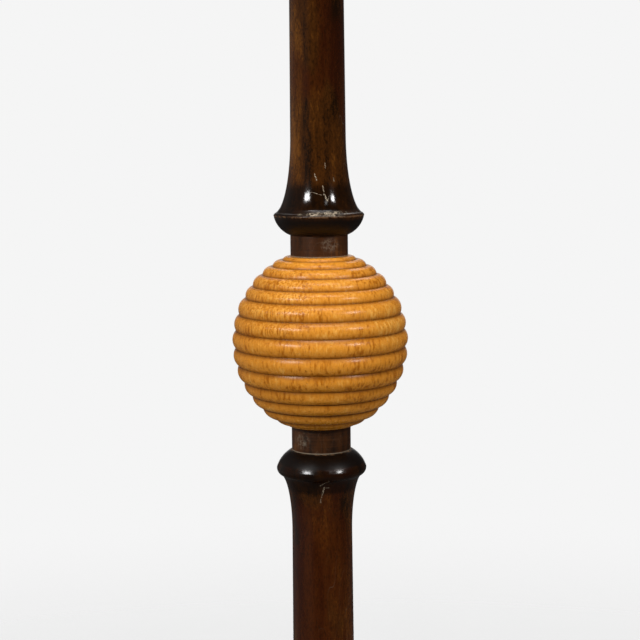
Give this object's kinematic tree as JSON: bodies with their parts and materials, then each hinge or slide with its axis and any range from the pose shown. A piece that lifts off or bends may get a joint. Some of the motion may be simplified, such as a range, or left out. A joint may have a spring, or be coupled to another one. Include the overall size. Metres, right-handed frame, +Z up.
{
  "type": "candlestick floor lamp",
  "caption": "Floor lamp with a dark turned candlestick column, a ribbed pale wood ball between bell-shaped lips, and a tapered fabric shade on a harp.",
  "frame": {"origin": "centre of the foot, on the floor", "axes": "+Z up along the column, -Y towards the front, where the switch key points; the cord inlet is at the back, +Y"},
  "size_m": [0.3999, 0.4, 1.6083],
  "materials": {
    "dark_wood": "glossy dark brown lacquer over a vertical grain",
    "honey_wood": "satin honey-coloured lacquer, darker in the grooves",
    "brass": "aged satin brass",
    "steel": "zinc-plated",
    "cast_iron": "rough cast",
    "felt": "pressed felt",
    "fibreboard": "plain pressed fibre",
    "insulation": "dark moulded insulator",
    "lead_jacket": "smooth jacket",
    "bulb_glass": "frosted inside",
    "shade_linen": "woven linen laminated to a stiff liner"
  },
  "bodies": {
    "column": {"felt_ring": "felt", "underside_cover": "fibreboard", "cover_screws": "brass", "base_weight": "cast_iron", "weight_screws": "steel", "plinth": "dark_wood", "cable_bush": "insulation", "connector_block": "insulation", "connector_screws": "brass", "inner_lead": "lead_jacket", "bottom_nut": "steel", "bottom_washer": "steel", "lamp_tube": "steel", "pedestal": "dark_wood", "foot_neck": "dark_wood", "lower_shaft": "dark_wood", "lower_neck": "dark_wood", "ribbed_ball": "honey_wood", "upper_neck": "dark_wood", "upper_shaft": "dark_wood", "top_neck": "dark_wood", "candle_pan": "dark_wood", "candle_cup": "dark_wood", "check_ring": "brass", "top_nut": "brass", "harp_saddle": "brass", "socket_cap": "brass", "cap_set_screw": "steel", "socket_shell": "brass", "socket_liner": "fibreboard", "socket_core": "insulation", "terminal_screws": "brass", "screw_shell": "brass", "centre_contact": "brass"},
    "switch": {"switch_key": "insulation"},
    "bulb": {"bulb_contact": "insulation", "bulb_cap": "steel", "bulb_glass": "bulb_glass"},
    "harp": {"harp": "brass"},
    "sleeve_left": {"sleeve_left": "brass"},
    "sleeve_right": {"sleeve_right": "brass"},
    "shade": {"shade_shell": "shade_linen", "shade_spider": "brass", "shade_bottom_ring": "brass"},
    "finial": {"finial": "brass"}
  },
  "joints": [
    {"name": "switch_turn", "type": "hinge", "parent": "column", "child": "switch", "pos_m": [0, -0.0305, 1.3746], "axis": [0, -1, 0], "continuous": true},
    {"name": "bulb_lift", "type": "slide", "parent": "column", "child": "bulb", "axis": [0, 0, 1], "range_m": [0, 0.026]},
    {"name": "harp_lift", "type": "slide", "parent": "column", "child": "harp", "axis": [0, 0, 1], "range_m": [0, 0.03]},
    {"name": "sleeve_left_slide", "type": "slide", "parent": "harp", "child": "sleeve_left", "axis": [0, 0, 1], "range_m": [0, 0.014]},
    {"name": "sleeve_right_slide", "type": "slide", "parent": "harp", "child": "sleeve_right", "axis": [0, 0, 1], "range_m": [0, 0.014]},
    {"name": "shade_turn", "type": "hinge", "parent": "harp", "child": "shade", "pos_m": [0, 0, 1.5725], "axis": [0, 0, 1], "continuous": true},
    {"name": "finial_lift", "type": "slide", "parent": "harp", "child": "finial", "axis": [0, 0, 1], "range_m": [0, 0.0142]}
  ]
}
